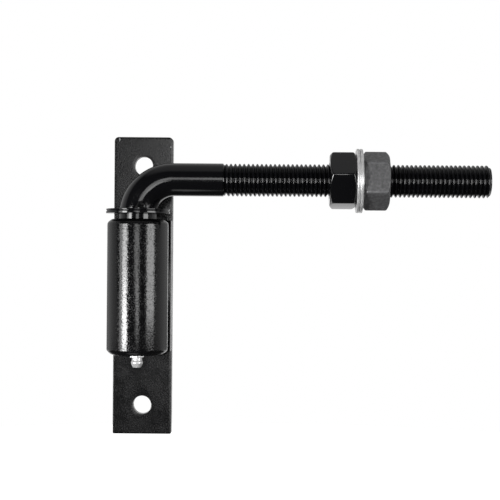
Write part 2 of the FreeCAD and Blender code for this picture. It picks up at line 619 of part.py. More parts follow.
bolt = make_j_bolt()
parts = [
    make_plate(),
    make_standoff(),
    make_barrel(),
    make_barrel_weld("barrel_weld_right", 1),
    make_barrel_weld("barrel_weld_left", -1),
    make_end_weld("bar_weld_top", 1),
    make_end_weld("bar_weld_bottom", -1),
    make_bush("upper_bush", UPPER_BUSH_BOTTOM),
    make_bush("lower_bush", LOWER_BUSH_BOTTOM),
    make_plug(),
    make_race("lower_race", PLUG_TOP, PRESSED_RADIUS),
    make_race("upper_race", UPPER_RACE_BOTTOM, TURNING_RADIUS),
    make_cage(),
    make_bearing_balls(),
    bolt,
    make_retaining_ring(),
    make_dust_washer(),
    make_washer_tack(bolt),
    make_flat_washer("inner_washer", INNER_WASHER_FACE),
    make_flat_washer("outer_washer", OUTER_WASHER_FACE),
    make_nut("inner_nut", INNER_NUT_FACE, number_of("Sizes.inner_nut_turn")),
    make_nut("outer_nut", OUTER_NUT_FACE, number_of("Sizes.outer_nut_turn")),
    make_nipple(),
    make_check_ball(),
    make_check_spring(),
]
doc.recompute()

for item in doc.Objects:
    if "Invalid" in item.State or "Error" in item.State:
        raise RuntimeError("%s failed: %s" % (item.Label, item.State))
for part in parts:
    if part.Shape.isNull() or not part.Shape.isValid() or not part.Shape.Solids:
        raise RuntimeError("%s has no valid solid" % part.Label)

os.makedirs("parts", exist_ok=True)
for part in parts:
    part.Shape.exportStep("parts/%s.step" % part.Label)
    box = part.Shape.BoundBox
    print("%-18s %9.2f mm3  solids %d  X %.2f %.2f  Y %.2f %.2f  Z %.2f %.2f" % (
        part.Label, part.Shape.Volume, len(part.Shape.Solids),
        box.XMin, box.XMax, box.YMin, box.YMax, box.ZMin, box.ZMax))
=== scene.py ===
import json
import math

import bmesh
import bpy
import numpy as np
from bpy.props import FloatProperty, FloatVectorProperty, PointerProperty
from bpy.types import Operator, Panel, PropertyGroup
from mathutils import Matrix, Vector


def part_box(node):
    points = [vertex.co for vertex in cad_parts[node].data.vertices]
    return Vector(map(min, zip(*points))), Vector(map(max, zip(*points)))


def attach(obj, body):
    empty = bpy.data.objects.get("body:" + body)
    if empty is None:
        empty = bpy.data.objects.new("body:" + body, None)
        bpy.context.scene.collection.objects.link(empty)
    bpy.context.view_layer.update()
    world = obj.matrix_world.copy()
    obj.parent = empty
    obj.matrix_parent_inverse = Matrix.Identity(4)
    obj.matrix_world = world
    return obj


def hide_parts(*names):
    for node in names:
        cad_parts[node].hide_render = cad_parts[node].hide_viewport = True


bl_info = {
    "name": "Gate Hinge",
    "version": (1, 0, 0),
    "blender": (4, 5, 0),
    "location": "View3D > Sidebar > Gate Hinge",
    "description": "Dresses a J-bolt gate hinge and sets up its studio",
    "category": "Add Mesh",
}

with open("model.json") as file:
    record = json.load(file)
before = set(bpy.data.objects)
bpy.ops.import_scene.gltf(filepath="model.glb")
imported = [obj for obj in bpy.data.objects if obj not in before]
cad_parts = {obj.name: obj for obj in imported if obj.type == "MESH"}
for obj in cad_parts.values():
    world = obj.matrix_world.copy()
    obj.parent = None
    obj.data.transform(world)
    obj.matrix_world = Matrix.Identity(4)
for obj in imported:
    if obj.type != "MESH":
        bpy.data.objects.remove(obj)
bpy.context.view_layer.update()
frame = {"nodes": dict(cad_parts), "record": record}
MM = 0.001


def linear(text):
    """A hex colour written in sRGB, as the linear RGBA that shaders take."""
    parts = [int(text[k:k + 2], 16) / 255 for k in (1, 3, 5)]
    return tuple(p / 12.92 if p <= 0.04045 else ((p + 0.055) / 1.055) ** 2.4 for p in parts) + (1.0,)


def length(label, note, millimetres):
    """A size property in metres, whose default is given in millimetres."""
    return FloatProperty(name=label, description=note, default=millimetres * MM, unit="LENGTH",
                         precision=5)


def colour(label, note, text):
    """A colour property, whose default is given as an sRGB hex value."""
    return FloatVectorProperty(name=label, description=note, default=linear(text), size=4,
                               subtype="COLOR", min=0.0, max=1.0)


def turn(label, note, degrees):
    """An angle property, whose default is given in degrees."""
    return FloatProperty(name=label, description=note, default=math.radians(degrees), subtype="ANGLE")


def pair(label, note, first, second):
    """A property of two numbers."""
    return FloatVectorProperty(name=label, description=note, size=2, default=(first, second),
                               precision=4)


class HingeSizes(PropertyGroup):
    bend_radius: length("Bend radius", "Bend of the bolt along its centre line", 20.5)
    arm_diameter: length("Arm diameter", "Plain part of the arm", 19.05)
    thread_diameter: length("Thread diameter", "Over the crests of the thread", 18.95)
    thread_length: length("Thread length", "Threaded part of the arm", 152.4)
    thread_pitch: length("Thread pitch", "Distance from crest to crest", 2.54)
    thread_depth: length("Thread depth", "Crest to root", 1.35)
    thread_runout: length("Thread run-out", "Unfinished turns before the full thread", 1.6)
    thread_relief: length("Thread relief", "Step down from the shank to the first turn", 0.45)
    thread_phase: length("Thread phase", "Place of a crest along the arm, at the back", -0.45)
    arm_chamfer: length("Arm chamfer", "Chamfer at the arm's end", 1.6)
    leg_diameter: length("Leg diameter", "Leg of the bolt, in the bushes", 21.3)
    leg_edge: length("Leg edge", "Rounding of the leg's edges", 0.2)
    leg_chamfer: length("Leg chamfer", "Chamfer at the leg's lower end", 1.0)
    ring_groove_depth: length("Ring groove depth", "Groove for the retaining ring", 1.25)
    ring_side_gap: length("Ring side gap", "Retaining ring to the sides of its groove", 0.1)
    plate_top_corner: length("Plate top corner", "Rounding of the plate's upper corners", 2.5)
    plate_foot_corner: length("Plate foot corner", "Rounding of the plate's lower corners", 0.8)
    plate_edge: length("Plate edge", "Broken edge of the plate and the bar", 0.25)
    hole_diameter: length("Hole diameter", "Bolt holes in the plate", 11.1)
    hole_end: length("Hole to end", "Hole centre to the plate's nearer end", 17.25)
    barrel_bore: length("Barrel bore", "Bore of the barrel", 25.4)
    chamfer_width: length("Chamfer width", "Chamfers at the barrel's ends, across", 2.5)
    chamfer_height: length("Chamfer height", "Chamfers at the barrel's ends, upright", 2.2)
    turned_edge: length("Turned edge", "Rounding of turned edges under paint", 1.0)
    washer_bore: length("Washer bore", "Bore of the flat washers", 20.6)
    washer_edge: length("Washer edge", "Rolled edge of the flat washers", 0.65)
    dust_washer_bore: length("Dust washer bore", "Bore of the dust washer", 22.5)
    dust_washer_groove: length("Dust washer groove", "Groove round the dust washer's rim", 0.4)
    dust_washer_line: FloatProperty(name="Dust washer line", default=0.37,
                                    description="Groove below the top, as a share of the rim")
    dust_washer_edge: length("Dust washer edge", "Rounding of the dust washer's ridges", 0.2)
    tack_depth: length("Tack depth", "Tack weld, out from the leg", 2.6)
    nut_flats: length("Nut flats", "Across the flats of each nut", 30.0)
    nut_face_inset: length("Nut face inset", "Round face of each nut inside its flats", 0.5)
    nut_bore: length("Nut bore", "Bore of the nuts", 19.15)
    nut_countersink: length("Nut countersink", "Countersink of the nuts' bores", 0.9)
    nut_corner: length("Nut corner", "Rounding of the nuts' corners", 1.3)
    nut_edge: length("Nut edge", "Rounding of the edges of the nuts' chamfers", 0.8)
    inner_nut_turn: turn("Inner nut turn", "From corner up towards the front", 20.2)
    outer_nut_turn: turn("Outer nut turn", "From corner up towards the front", -4.6)
    weld_overlap: length("Weld overlap", "Back of a weld, sunk in what it joins", 0.3)
    weld_toe: length("Weld toe", "Long weld's toe on the barrel, in from its front", 0.2)
    weld_sink: length("Weld sink", "Long weld's toe, sunk in the barrel", 0.1)
    weld_crown: length("Weld crown", "Long weld's section, drawn out sideways between its toes", 1.3)
    weld_throat: length("Weld throat", "Long weld's inner corner, in from its toe on the barrel", 5.0)
    end_weld_crown: length("End weld crown", "End weld's section, drawn out forwards and away", 0.35)
    weld_ripple: length("Weld ripple", "Spacing of the ripples in a weld bead", 2.6)
    nipple_flats: length("Nipple flats", "Across the flats of the grease nipple", 8.0)
    nipple_hexagon: length("Nipple hexagon", "Height of the nipple's hexagon", 1.8)
    nipple_thread: length("Nipple thread", "Threaded shank of the nipple", 6.2)
    nipple_neck: length("Nipple neck", "Neck of the nipple", 5.9)
    nipple_head: length("Nipple head", "Widest part of the nipple's head", 6.8)
    nipple_tip: length("Nipple tip", "End face of the nipple", 4.6)
    nipple_taper: length("Nipple taper", "Slope from the head to the end face, upright", 2.4)
    nipple_head_band: length("Nipple head band", "Straight band of the head, upright", 1.0)
    nipple_flare: length("Nipple flare", "Slope from the neck to the head, upright", 0.7)
    nipple_inlet: length("Nipple inlet", "Hole in the nipple's end", 1.6)
    nipple_inlet_length: length("Nipple inlet length", "Hole in the nipple's end, upright", 1.0)
    nipple_lip: length("Nipple lip", "Lip that holds the spring, upright", 0.6)
    nipple_bore: length("Nipple bore", "Bore behind the nipple's inlet", 2.8)
    nipple_turn: turn("Nipple turn", "Nipple's hexagon, from corner to the side", 36.0)


class HingeFinishes(PropertyGroup):
    plate_paint: colour("Plate paint", "Satin powder coat", "#0a0a0b")
    barrel_paint: colour("Barrel paint", "Semi-gloss powder coat", "#0a0a0b")
    bolt_paint: colour("Bolt paint", "Gloss coat of the bolt and inner nut", "#08080a")
    nut_coating: colour("Nut coating", "Matte coating of the outer nut", "#5f5f60")
    zinc: colour("Zinc", "Bright zinc plating", "#e2e2e2")
    bronze: colour("Bronze", "Bearing bronze", "#b08a4c")
    steel: colour("Steel", "Ground bearing steel", "#b9babd")
    floor: colour("Floor", "Pale floor under the hinge", "#f2f2f2")


class HingeStage(PropertyGroup):
    camera: FloatVectorProperty(name="Camera", description="Place of the camera", subtype="XYZ",
                                default=(0.0846, -0.7031, 0.0200), precision=5)
    lens: FloatProperty(name="Lens", description="Focal length on a 36 mm sensor", default=83.68)
    shift: pair("Shift", "Shift of the picture across and up", -0.0683, 0.0063)
    roll: turn("Roll", "Turn of the camera about its view", -0.436)
    floor_drop: length("Floor drop", "Floor below the origin", 260.0)
    floor_radius: length("Floor radius", "Round floor", 1200.0)
    lamp_target: FloatVectorProperty(name="Lamp target", description="Point that the lamps face",
                                     subtype="XYZ", default=(0.06, -0.03, 0.0), precision=4)
    floor_glow: pair("Floor glow", "Floor's white under the hinge and far out", 0.6, 1.0)
    floor_fade: pair("Floor fade", "Radii between which the floor's white rises, in metres", 0.25, 0.6)
    floor_back: pair("Floor back", "Metres behind between which mirrors see it turn white", 0.3, 0.5)
    patch: pair("Patch", "Pale patch of floor for mirrors, across and back, in metres", -0.03, -0.07)
    patch_fade: pair("Patch fade", "Radii between which the patch ends, in metres", 0.0425, 0.065)
    backdrop_fade: pair("Backdrop fade", "How far back a way points to mirror white", 0.945, 0.985)
    room: FloatProperty(name="Room", description="Light of the dimmest part of the room", default=0.04)
    ceiling: FloatProperty(name="Ceiling", description="Light of the room overhead", default=0.34)
    ceiling_fade: pair("Ceiling fade", "How far up a way points where the ceiling begins", 0.78, 0.92)


def box_of(name):
    """Lowest and highest corner of a CAD node as arrays."""
    low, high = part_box(name)
    return np.array(low, float), np.array(high, float)


def middle_of(name):
    """Middle of a CAD node's box."""
    low, high = box_of(name)
    return (low + high) / 2


# Shapes

def new_piece(name, shapes, body, node, slot, smooth=40.0):
    """A piece from one or more closed grids, in place of a CAD node. What coincides is
    merged, faces that shrink to nothing go, and the rest point outwards. Faces that meet at
    less than the smooth angle, in degrees, are shaded as one."""
    vertices = np.concatenate([points.reshape(-1, 3) for points, faces in shapes])
    starts = np.cumsum([0] + [points.size // 3 for points, faces in shapes])
    faces = np.concatenate([part[1] + start for part, start in zip(shapes, starts)])
    mesh = bpy.data.meshes.new(name)
    mesh.from_pydata(vertices.tolist(), [], faces.tolist())
    work = bmesh.new()
    work.from_mesh(mesh)
    bmesh.ops.remove_doubles(work, verts=work.verts, dist=2e-6)
    bmesh.ops.dissolve_degenerate(work, edges=work.edges, dist=1e-6)
    bmesh.ops.recalc_face_normals(work, faces=work.faces)
    work.to_mesh(mesh)
    work.free()
    mesh.polygons.foreach_set("use_smooth", np.ones(len(mesh.polygons), bool))
    mesh.set_sharp_from_angle(angle=math.radians(smooth))
    mesh.materials.append(finish_of(slot))
    piece = bpy.data.objects.new(name, mesh)
    bpy.context.scene.collection.objects.link(piece)
    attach(piece, body)
    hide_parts(node)


def quads(rows, columns, close_rows=False, close_columns=False):
    """Faces of a grid of points, with its last row or column joined to its first if asked."""
    row, column = np.meshgrid(np.arange(rows if close_rows else rows - 1),
                              np.arange(columns if close_columns else columns - 1), indexing="ij")
    next_row = (row + 1) % rows * columns
    next_column = (column + 1) % columns
    row = row * columns
    corners = [row + column, row + next_column, next_row + next_column, next_row + column]
    return np.stack(corners, axis=-1).reshape(-1, 4)


def soften(points, radius, steps=3, closed=True):
    """A profile of (across, along) points, each with any number of columns, whose corners
    become quadratic curves. A curve leaves its two sides at the same distance, which is the
    radius or half of the shorter side."""
    before = np.roll(points, 1, axis=0) - points
    after = np.roll(points, -1, axis=0) - points
    before_size = np.linalg.norm(before, axis=-1, keepdims=True)
    after_size = np.linalg.norm(after, axis=-1, keepdims=True)
    reach = np.minimum(radius, np.minimum(before_size, after_size) / 2)
    if not closed:
        reach[[0, -1]] = 0
    start = (points + before / before_size * reach)[:, None]
    end = (points + after / after_size * reach)[:, None]
    share = np.linspace(0, 1, steps + 1).reshape([1, -1] + [1] * (points.ndim - 1))
    curve = (1 - share) ** 2 * start + 2 * share * (1 - share) * points[:, None] + share ** 2 * end
    return curve.reshape([-1] + list(points.shape[1:]))


def lathe(profile, origin, along="z", segments=128, closed=True):
    """A profile of (radius, height) points turned about an axis: radius times the cosine and
    sine of the angle across the axis, and the height along it."""
    angle = np.linspace(0, 2 * math.pi, segments, endpoint=False)
    radius = profile[:, :1]
    height = np.broadcast_to(profile[:, 1:], (len(profile), segments))
    across = [radius * np.cos(angle), radius * np.sin(angle)]
    order = across + [height] if along == "z" else [height] + across
    points = np.stack(order, axis=-1) + origin
    return points, quads(len(profile), segments, closed, True)


def rounded_hexagon(flats, corner, first, arc_steps=4, side_steps=6):
    """Outline of a hexagon with arcs at its corners, as its points' radius and angle. Each
    side runs straight between two arcs, and the first corner stands at the given angle."""
    apothem = flats / 2
    reach = corner * math.tan(math.pi / 6)
    half_side = apothem * math.tan(math.pi / 6) - reach
    side = np.linspace(-half_side, half_side, side_steps + 1)
    flat_part = np.stack([np.full(side_steps + 1, apothem), side], axis=-1)
    spread = np.linspace(0, math.pi / 3, arc_steps + 1)[1:-1]
    centre = np.array([apothem - corner, half_side])
    arc = centre + corner * np.stack([np.cos(spread), np.sin(spread)], axis=-1)
    sixth = np.concatenate([flat_part, arc])
    radius = np.tile(np.linalg.norm(sixth, axis=-1), 6)
    angle = np.arctan2(sixth[:, 1], sixth[:, 0]) + math.pi / 3 * np.arange(6)[:, None]
    return radius, angle.ravel() + first + math.pi / 6


def outline_profile(radii, places):
    """A profile with one column for each point of an outline, from its points' radii and
    places along the axis, each a number or a row with a value for every column."""
    parts = np.broadcast_arrays(*radii, *places)
    return np.stack([np.stack(parts[:len(radii)]), np.stack(parts[len(radii):])], axis=-1)


def bead(section, corner, start, end, order, ripple, seed):
    """A weld bead: a section of (across, up) points carried along a straight line. Each
    point's distance from the section's inner corner swells and sinks with crescents, the
    absolute sine of the distance along plus a share of the square of the place across, and
    closes like a quarter circle at both ends. A slow sine of the distance shifts the
    crescents, so that their spacing isn't even. The order says which of across, up and along
    is each of x, y and z."""
    count = max(24, int(abs(end - start) / ripple * 10))
    along = np.linspace(start, end, count)
    place = np.linspace(-1, 1, len(section))
    wander = 0.35 * np.sin(along * 2 * math.pi / (ripple * 3.7) + seed)
    phase = (along / ripple + wander)[:, None] + 0.45 * place ** 2
    shiver = np.sin(9.1 * along[:, None] / ripple + seed)
    swell = 0.94 + 0.07 * np.abs(np.sin(math.pi * phase)) + 0.02 * shiver
    tip = np.minimum(along - start, end - along) / (0.8 * ripple)
    close = np.sqrt(np.clip(1 - (1 - np.clip(tip, 0, 1)) ** 2, 0, 1))[:, None]
    flat = corner + (section - corner) * (swell * close)[..., None]
    corner_row = np.broadcast_to(corner, (count, 1, 2))
    flat = np.concatenate([flat, corner_row], axis=1)
    depth = np.broadcast_to(along[:, None], flat.shape[:2])
    parts = [flat[..., 0], flat[..., 1], depth]
    points = np.stack([parts[k] for k in order], axis=-1)
    return points, quads(count, len(section) + 1, False, True)


def curve_through(first, middle, last, steps=12):
    """Quadratic curve from the first to the last point, drawn towards the middle one."""
    share = np.linspace(0, 1, steps + 1)[:, None]
    return (1 - share) ** 2 * first + 2 * share * (1 - share) * middle + share ** 2 * last


# Materials

# What comes in between the first two goes out between the last two
SPAN = ("From Min", "From Max", "To Min", "To Max")


def add_node(tree, kind, links=(), values=(), stops=(), **settings):
    """Adds a node with its settings, its inputs' links as (source, input) and values as
    (input, value), and its ramp's stops as (place, colour)."""
    item = tree.nodes.new("ShaderNode" + kind)
    for key, value in settings.items():
        setattr(item, key, value)
    for key, value in values:
        item.inputs[key].default_value = value
    for source, key in links:
        tree.links.new(source, item.inputs[key])
    for k, (place, colour_there) in enumerate(stops):
        elements = item.color_ramp.elements
        element = elements[k] if k < 2 else elements.new(place)
        element.position = place
        element.color = colour_there
    return item


def new_material(name, **shader):
    """A material whose shader has the given inputs. Gives it back with its tree, its shader
    and the object's coordinates."""
    material = bpy.data.materials.new(name)
    material.use_nodes = True
    tree = material.node_tree
    shading = tree.nodes["Principled BSDF"]
    for key, value in shader.items():
        shading.inputs[key.replace("_", " ")].default_value = value
    place = add_node(tree, "TexCoord").outputs["Object"]
    return material, tree, shading, place


def drive(tree, shading, **sources):
    """Links each source to the shader's input of that name."""
    for key, source in sources.items():
        tree.links.new(source, shading.inputs[key.replace("_", " ")])


def shade(rgba, factor):
    """A colour made darker or lighter by a factor."""
    return tuple(min(1.0, part * factor) for part in rgba[:3]) + (1.0,)


def black_coat(name, base, gloss, peel, peel_depth, dust, pits=0.02, index=1.5):
    """Black film on steel. A dielectric of the given index with orange peel, whose gloss
    drifts over about 10 mm and is lost by the given roughness in pits as wide as the peel,
    and a few pale specks of dust about 0.5 mm across."""
    material, tree, shading, place = new_material(name, IOR=index)
    base = tuple(base)
    specks = add_node(tree, "TexNoise", [(place, "Vector")],
                      [("Scale", 1 / (0.5 * MM)), ("Detail", 1.0)])
    tint = add_node(tree, "ValToRGB", [(specks.outputs["Fac"], "Fac")],
                    stops=[(0.0, base), (0.70, base), (0.76, shade(base, 1 + 6 * dust))])
    drift = add_node(tree, "TexNoise", [(place, "Vector")], [("Scale", 1 / (10 * MM))])
    sheen = add_node(tree, "MapRange", [(drift.outputs["Fac"], "Value")],
                     zip(SPAN, (0.3, 0.7, gloss - 0.04, gloss + 0.05)))
    skin = add_node(tree, "TexNoise", [(place, "Vector")], [("Scale", 1 / peel)])
    pitted = add_node(tree, "MapRange", [(skin.outputs["Fac"], "Value")],
                      zip(SPAN, (0.5, 0.62, 0.0, pits)))
    rough = add_node(tree, "Math", [(sheen.outputs["Result"], 0), (pitted.outputs["Result"], 1)],
                     operation="ADD")
    bump = add_node(tree, "Bump", [(skin.outputs["Fac"], "Height")], [("Distance", peel_depth)])
    drive(tree, shading, Base_Color=tint.outputs["Color"], Roughness=rough.outputs[0],
          Normal=bump.outputs["Normal"])
    return material


# Nicks in the plate's coat: across, up, half their width and half their height, in mm
NICKS = ((-14.5, 87.3, 0.35, 1.1), (16.2, 83.1, 0.5, 0.4))


def plate_finish(colours):
    """Satin powder coat with a pale nick near each upper corner. A nick shows where the
    distance from its middle, each way divided by its half size, is less than one."""
    # Flat bar: soft wide highlights over a fine even stipple, and two chips that look dusty.
    material = black_coat("Satin powder coat", colours.plate_paint, gloss=0.2, peel=0.8 * MM,
                          peel_depth=0.05 * MM, dust=1.0, pits=0.08)
    tree = material.node_tree
    shading = tree.nodes["Principled BSDF"]
    place = add_node(tree, "TexCoord").outputs["Object"]
    front = box_of("mounting_plate")[0][1]
    for across, up, half_across, half_up in NICKS:
        off = add_node(tree, "VectorMath", [(place, 0)],
                       [(1, (across * MM, front, up * MM))], operation="SUBTRACT")
        share = add_node(tree, "VectorMath", [(off.outputs[0], 0)],
                         [(1, (half_across * MM, 1.0 * MM, half_up * MM))], operation="DIVIDE")
        size = add_node(tree, "VectorMath", [(share.outputs[0], 0)], operation="LENGTH")
        nick = add_node(tree, "MapRange", [(size.outputs["Value"], "Value")],
                        zip(SPAN, (0.7, 1.2, 0.4, 0.0)))
        painted = shading.inputs["Base Color"].links[0].from_socket
        chipped = add_node(tree, "Mix", [(nick.outputs["Result"], 0), (painted, 6)],
                           [(7, tuple(colours.steel))], data_type="RGBA")
        drive(tree, shading, Base_Color=chipped.outputs[2])
    return material


def barrel_finish(colours):
    # Thicker powder coat on a turned tube: clear highlights broken up by a hammered texture.
    return black_coat("Hammered powder coat", colours.barrel_paint, gloss=0.09, peel=0.9 * MM,
                      peel_depth=0.06 * MM, dust=0.4, pits=0.2)


def weld_finish(colours):
    # The same coat over weld metal: rounder and lumpier, with small glints on the ripples.
    return black_coat("Powder coat over weld", colours.barrel_paint, gloss=0.16, peel=1.2 * MM,
                      peel_depth=0.25 * MM, dust=0.3)


def bolt_finish(colours):
    # Gloss coat on a rolled bar: long clean highlights with a slow waviness.
    return black_coat("Gloss black coat", colours.bolt_paint, gloss=0.11, peel=2.0 * MM,
                      peel_depth=0.015 * MM, dust=0.1)


def glossy_nut_finish(colours):
    # The same gloss coat on flat forged faces, baked harder, so its mirror is a little stronger.
    return black_coat("Gloss black nut coat", colours.bolt_paint, gloss=0.1, peel=2.0 * MM,
                      peel_depth=0.015 * MM, dust=0.1, index=1.62)


def nut_finish(colours):
    """Matte grey coating on a forged nut, mottled in patches of about 1.6 mm. It pales
    towards the steel where a point's distance from the arm's axis nears the corner's: partly
    rubbed-through wear, partly a painted highlight along each corner."""
    # The patches show as paler spots, and each corner as a thin pale line along the nut: partly wear,
    # partly a painted highlight.
    material, tree, shading, place = new_material("Matte nut coating", Metallic=0.3)
    base = tuple(colours.nut_coating)
    mottle = add_node(tree, "TexNoise", [(place, "Vector")],
                      [("Scale", 1 / (1.6 * MM)), ("Detail", 5.0)])
    tint = add_node(tree, "ValToRGB", [(mottle.outputs["Fac"], "Fac")],
                    stops=[(0.3, shade(base, 0.7)), (0.52, base), (0.72, shade(base, 1.4))])
    sheen = add_node(tree, "MapRange", [(mottle.outputs["Fac"], "Value")],
                     zip(SPAN, (0.3, 0.7, 0.52, 0.42)))
    grit = add_node(tree, "TexNoise", [(place, "Vector")], [("Scale", 1 / (0.6 * MM))])
    bump = add_node(tree, "Bump", [(grit.outputs["Fac"], "Height")], [("Distance", 0.03 * MM)])
    axis = middle_of("outer_nut")
    wear_and_highlight_start = 0.55 * MM
    wear_and_highlight_end = 0.25 * MM
    corner = bpy.context.scene.hinge_sizes.nut_flats / 2 / math.cos(math.pi / 6)
    off = add_node(tree, "VectorMath", [(place, 0)], [(1, (0.0, axis[1], axis[2]))],
                   operation="SUBTRACT")
    across = add_node(tree, "VectorMath", [(off.outputs[0], 0)], [(1, (0.0, 1.0, 1.0))],
                      operation="MULTIPLY")
    reach = add_node(tree, "VectorMath", [(across.outputs[0], 0)], operation="LENGTH")
    # Painted highlight, partly wear: each corner of the nut pales towards the steel colour.
    wear_and_highlight = add_node(tree, "MapRange", [(reach.outputs["Value"], "Value")],
                      zip(SPAN, (corner - wear_and_highlight_start, corner - wear_and_highlight_end, 0.0, 0.14)))
    worn_and_highlit = add_node(tree, "Mix", [(wear_and_highlight.outputs["Result"], 0), (tint.outputs["Color"], 6)],
                    [(7, tuple(colours.steel))], data_type="RGBA")
    drive(tree, shading, Base_Color=worn_and_highlit.outputs[2], Roughness=sheen.outputs["Result"],
          Normal=bump.outputs["Normal"])
    return material


def zinc_finish(colours):
    """Bright zinc plating on stamped or turned steel, cloudy over about 3 mm."""
    # A pale neutral metal: bright where it sees the lamps, with soft grey clouds between.
    material, tree, shading, place = new_material("Bright zinc plating", Metallic=0.5)
    base = tuple(colours.zinc)
    cloud = add_node(tree, "TexNoise", [(place, "Vector")], [("Scale", 1 / (3 * MM))])
    tint = add_node(tree, "ValToRGB", [(cloud.outputs["Fac"], "Fac")],
                    stops=[(0.35, shade(base, 0.85)), (0.65, base)])
    sheen = add_node(tree, "MapRange", [(cloud.outputs["Fac"], "Value")],
                     zip(SPAN, (0.3, 0.7, 0.28, 0.4)))
    grit = add_node(tree, "TexNoise", [(place, "Vector")], [("Scale", 1 / (0.5 * MM))])
    bump = add_node(tree, "Bump", [(grit.outputs["Fac"], "Height")], [("Distance", 0.01 * MM)])
    drive(tree, shading, Base_Color=tint.outputs["Color"], Roughness=sheen.outputs["Result"],
          Normal=bump.outputs["Normal"])
    return material


def turned_metal(name, base, gloss):
    """Turned or ground metal with marks 0.8 mm apart, coarser than real so that they show."""
    material, tree, shading, place = new_material(name, Metallic=1.0, Roughness=gloss)
    rings = add_node(tree, "Mapping", [(place, "Vector")], [("Scale", (0.05, 0.05, 1.0))])
    marks = add_node(tree, "TexNoise", [(rings.outputs["Vector"], "Vector")],
                     [("Scale", 1 / (0.8 * MM))])
    tint = add_node(tree, "ValToRGB", [(marks.outputs["Fac"], "Fac")],
                    stops=[(0.3, shade(base, 0.8)), (0.7, tuple(base))])
    bump = add_node(tree, "Bump", [(marks.outputs["Fac"], "Height")], [("Distance", 0.02 * MM)])
    drive(tree, shading, Base_Color=tint.outputs["Color"], Normal=bump.outputs["Normal"])
    return material


def bronze_finish(colours):
    # Bearing bronze: warm yellow-brown metal with fine rings from the tool.
    return turned_metal("Bearing bronze", colours.bronze, 0.3)


def steel_finish(colours):
    # Ground bearing steel: neutral grey metal, nearly mirror bright.
    return turned_metal("Ground bearing steel", colours.steel, 0.18)


FINISHES = {
    "plate_paint": plate_finish,
    "barrel_paint": barrel_finish,
    "weld_paint": weld_finish,
    "bolt_paint": bolt_finish,
    "nut_paint": glossy_nut_finish,
    "nut_oxide": nut_finish,
    "zinc": zinc_finish,
    "bronze": bronze_finish,
    "bearing_steel": steel_finish,
}
made = {}


def finish_of(slot):
    """The material of a slot, made once."""
    maker = FINISHES[slot]
    if maker not in made:
        made[maker] = maker(bpy.context.scene.hinge_finishes)
    return made[maker]


# Pieces

class HINGE_OT_plate(Operator):
    """Make the mounting plate and the bar that stands on it"""
    bl_idname = "hinge.plate"
    bl_label = "Plate"

    def execute(self, context):
        """Each half of the plate is a grid. One way it goes round the bolt hole on straight
        spokes from the hole's circle to the half's outline, and the other way it follows a
        section: the hole's wall, the front, the rim and the back. The two halves meet on the
        plate's middle line, where the wall between them is left out."""
        sizes = context.scene.hinge_sizes
        upper, faces = self.half(sizes, sizes.plate_top_corner)
        lower, faces = self.half(sizes, sizes.plate_foot_corner)
        shapes = [(upper, faces), (lower * np.array([1.0, 1.0, -1.0]), faces)]
        new_piece("plate", shapes, "plate_and_barrel", "mounting_plate", "plate_paint")
        self.bar(sizes.plate_edge)
        return {"FINISHED"}

    def half(self, sizes, corner):
        """The half above the middle line, with corners of the given radius. The edges of the
        front are quarter circles, and the back is the front mirrored."""
        low, high = box_of("mounting_plate")
        width = high[0]
        height = high[2]
        edge = sizes.plate_edge
        hole = sizes.hole_diameter / 2
        centre = np.array([0.0, height - sizes.hole_end])
        rise = np.linspace(0, height - corner, 15)
        spread = np.linspace(0, math.pi / 2, 9)
        reach = np.linspace(-1, 1, 15)[1:-1]
        mirror = np.array([-1.0, 1.0])
        side = np.stack([np.full_like(rise, width), rise], axis=-1)
        arc = np.stack([np.cos(spread), np.sin(spread)], axis=-1)
        bend = np.array([width - corner, height - corner]) + corner * arc
        roof = np.stack([-reach * (width - corner), np.full_like(reach, height)], axis=-1)
        middle = np.stack([reach * width, np.zeros_like(reach)], axis=-1)
        outline = np.concatenate([side, bend[1:], roof, (bend * mirror)[::-1],
                                  (side * mirror)[::-1][1:], middle])
        outward = np.concatenate([
            np.tile([1.0, 0.0], (len(side), 1)), arc[1:], np.tile([0.0, 1.0], (len(roof), 1)),
            (arc * mirror)[::-1], np.tile([-1.0, 0.0], (len(side) - 1, 1)), np.zeros_like(middle)])
        spoke = outline - centre
        spoke /= np.linalg.norm(spoke, axis=1)[:, None]
        quarter = np.linspace(0, math.pi / 2, 5)
        section = [(centre + spoke * (hole + edge * (1 - math.cos(a))),
                    low[1] + edge * (1 - math.sin(a))) for a in quarter]
        near = section[-1][0]
        far = outline - outward * edge
        section += [(near * (1 - t) + far * t, low[1]) for t in (0.1, 0.35, 0.65, 0.9)]
        section += [(outline - outward * edge * (1 - math.sin(a)),
                     low[1] + edge * (1 - math.cos(a))) for a in quarter]
        section += [(flat, high[1] + low[1] - depth) for flat, depth in reversed(section)]
        flat = np.stack([item[0] for item in section])
        depth = np.broadcast_to(np.array([item[1] for item in section])[:, None], flat.shape[:2])
        points = np.stack([flat[..., 0], depth, flat[..., 1]], axis=-1)
        faces = quads(points.shape[0], points.shape[1], True, True)
        inside = np.all(np.abs(points.reshape(-1, 3)[faces][..., 2]) < 1e-9, axis=1)
        return points, faces[~inside]

    def bar(self, edge):
        """The bar is a rectangle with soft corners carried up, closed at both ends by rings
        that draw in to the rectangle's middle. Each ring has a share of the rectangle's size
        and a height above or below its end, in units of the broken edge."""
        low, high = box_of("standoff_bar")
        corners = np.array([[low[0], low[1]], [high[0], low[1]], [high[0], high[1]], [low[0], high[1]]])
        outline = soften(corners, 2 * edge, 4)
        middle = middle_of("standoff_bar")[:2]
        inset = np.array([0.0, 0.9, 0.97, 1.0, 1.0, 0.97, 0.9, 0.0])
        rise = np.array([0.0, 0.0, 0.3, 1.0, -1.0, -0.3, 0.0, 0.0]) * edge
        base = np.array([low[2]] * 4 + [high[2]] * 4)
        flat = middle + (outline - middle) * inset[:, None, None]
        depth = np.broadcast_to((base + rise)[:, None], flat.shape[:2])
        points = np.concatenate([flat, depth[..., None]], axis=-1)
        shapes = [(points, quads(len(inset), len(outline), False, True))]
        new_piece("bar", shapes, "plate_and_barrel", "standoff_bar", "plate_paint")


